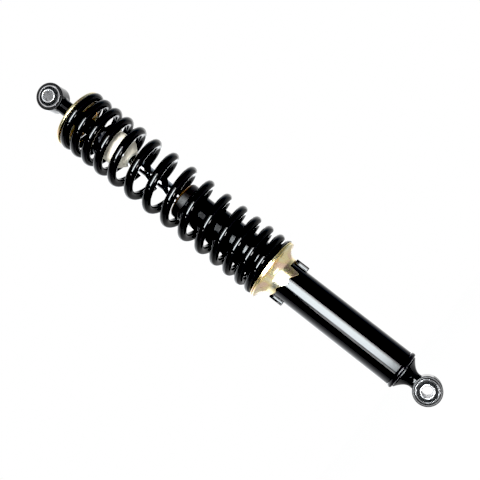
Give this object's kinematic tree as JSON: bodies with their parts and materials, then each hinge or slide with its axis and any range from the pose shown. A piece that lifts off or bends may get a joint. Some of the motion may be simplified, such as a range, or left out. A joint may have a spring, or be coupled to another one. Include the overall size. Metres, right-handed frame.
{
  "type": "rear shock absorber",
  "caption": "Coil-over rear shock absorber: rubber-bushed eyes, black coil spring over a chromed rod and damper tube, stepped preload collar and foam bump stop.",
  "frame": {"origin": "centre of the lower eye's bolt bore", "axes": "+Z runs along the rod from the lower eye to the upper eye, +Y along both bolt bores, and +X to the right seen from the front"},
  "size_m": [0.0604, 0.0596, 0.4664],
  "materials": {
    "black_gloss_paint": "deep gloss black paint",
    "black_painted_forging": "semi-gloss black paint on a forging",
    "yellow_zinc": "yellow passivated zinc plating with an iridescent sheen",
    "clear_zinc": "bright zinc plating",
    "machined_steel": "plain machined steel",
    "hard_chrome": "ground and hard chromed, mirror bright",
    "sintered_bronze": "dull sintered bronze",
    "black_rubber": "matt black rubber",
    "cream_foam": "matt cream polyurethane foam",
    "brown_black_steel": "thin black over brown steel"
  },
  "bodies": {
    "damper_body": {"damper_tube": "black_gloss_paint", "lower_end_cap": "black_gloss_paint", "lower_eye": "black_painted_forging", "lower_bush_shell": "machined_steel", "lower_bush_rubber": "black_rubber", "stop_lug_left": "black_painted_forging", "stop_lug_right": "black_painted_forging", "inner_cylinder": "machined_steel", "foot_valve_body": "machined_steel", "foot_valve_disc": "machined_steel", "rod_guide": "machined_steel", "guide_bush": "sintered_bronze", "oil_seal": "black_rubber", "top_cap": "brown_black_steel", "rod_wiper": "black_rubber", "main_spring": "black_gloss_paint"},
    "preload_seat": {"spring_seat_washer": "yellow_zinc"},
    "preload_collar": {"preload_cam": "yellow_zinc"},
    "upper_seat": {"upper_spring_seat": "yellow_zinc"},
    "rod": {"piston_rod": "hard_chrome", "upper_eye": "black_painted_forging", "upper_bush_shell": "machined_steel", "upper_bush_rubber": "black_rubber", "lock_nut": "machined_steel", "bump_stop_cup": "machined_steel", "bump_stop": "cream_foam", "rebound_stop": "machined_steel", "piston": "machined_steel", "piston_band": "sintered_bronze", "valve_shims": "machined_steel", "piston_nut": "machined_steel"},
    "lower_sleeve": {"lower_bush_sleeve": "clear_zinc"},
    "upper_sleeve": {"upper_bush_sleeve": "clear_zinc"}
  },
  "joints": [
    {"name": "stroke", "type": "slide", "parent": "damper_body", "child": "upper_seat", "axis": [0, 0, -1], "range_m": [0, 0.078], "stiffness_N_per_m": 18000, "springref_m": -0.015, "deforming": ["main_spring", "bump_stop"]},
    {"name": "eye_swivel", "type": "hinge", "parent": "upper_seat", "child": "rod", "pos_m": [0, 0, 0.44], "axis": [0, 0, 1], "continuous": true},
    {"name": "seat_lift", "type": "slide", "parent": "damper_body", "child": "preload_seat", "axis": [0, 0, 1], "range_m": [0, 0.0115], "deforming": ["main_spring"]},
    {"name": "cam_turn", "type": "hinge", "parent": "preload_seat", "child": "preload_collar", "pos_m": [0, 0, 0.165], "axis": [0, 0, -1], "range_deg": [0, 101]},
    {"name": "lower_bush_twist", "type": "hinge", "parent": "damper_body", "child": "lower_sleeve", "pos_m": [0, 0, 0], "axis": [0, 1, 0], "range_deg": [-20, 20], "stiffness_Nm_per_rad": 5},
    {"name": "upper_bush_twist", "type": "hinge", "parent": "rod", "child": "upper_sleeve", "pos_m": [0, 0, 0.44], "axis": [0, 1, 0], "range_deg": [-20, 20], "stiffness_Nm_per_rad": 5}
  ],
  "couplings": [
    {"joint": "seat_lift", "follows": "cam_turn", "m_per_rad": 0.0064}
  ]
}
